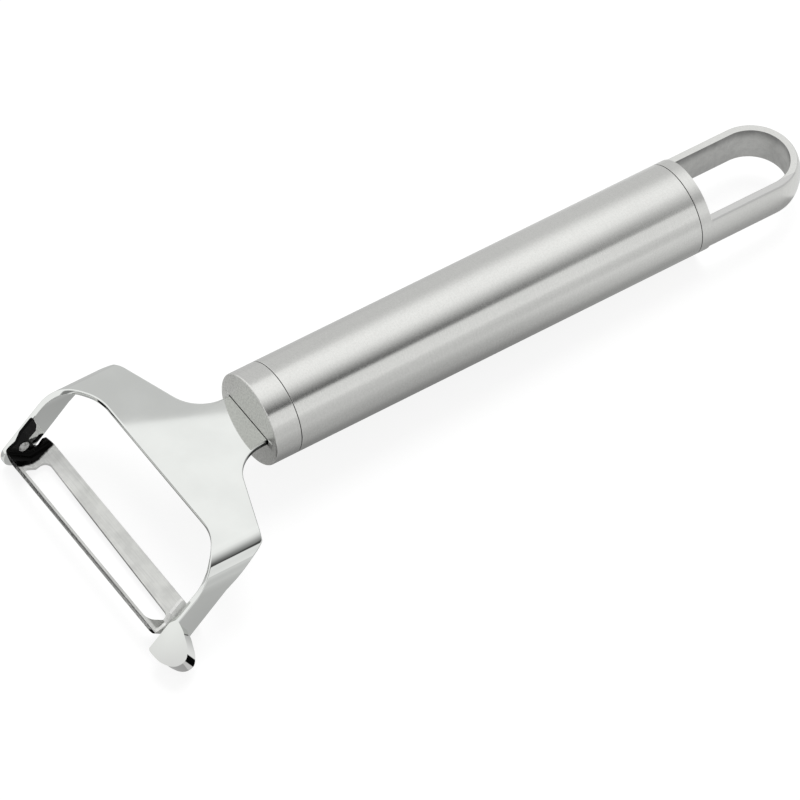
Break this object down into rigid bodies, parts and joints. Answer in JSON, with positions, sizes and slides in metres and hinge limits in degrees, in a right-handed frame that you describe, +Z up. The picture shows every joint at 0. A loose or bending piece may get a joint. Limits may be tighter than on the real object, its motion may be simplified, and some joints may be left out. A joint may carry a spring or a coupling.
{
  "type": "vegetable peeler",
  "caption": "Stainless Y-shaped vegetable peeler: round handle, bent sheet head, swivelling slotted blade, eye remover and hanging loop.",
  "frame": {"origin": "middle of the handle tube, on its axis", "axes": "+Y along the handle towards the hanging loop, +X towards the eye remover's side, +Z up out of the head plate, away from the blade"},
  "size_m": [0.0626, 0.1656, 0.027],
  "materials": {
    "satin_steel": "satin, brushed round the bar",
    "polished_steel": "polished stainless steel",
    "blade_steel": "fine ground"
  },
  "bodies": {
    "handle": {"handle_tube": "satin_steel", "front_plug": "satin_steel", "rear_loop_cap": "satin_steel", "head_frame": "polished_steel", "eye_remover": "polished_steel", "pivot_rivet_left": "polished_steel", "pivot_rivet_right": "polished_steel", "tang_pin": "satin_steel"},
    "blade": {"swivel_blade": "blade_steel"}
  },
  "joints": [
    {"name": "blade_swivel", "type": "hinge", "parent": "handle", "child": "blade", "pos_m": [0, -0.0857, -0.0118], "axis": [1, 0, 0], "range_deg": [-25, 25]}
  ]
}
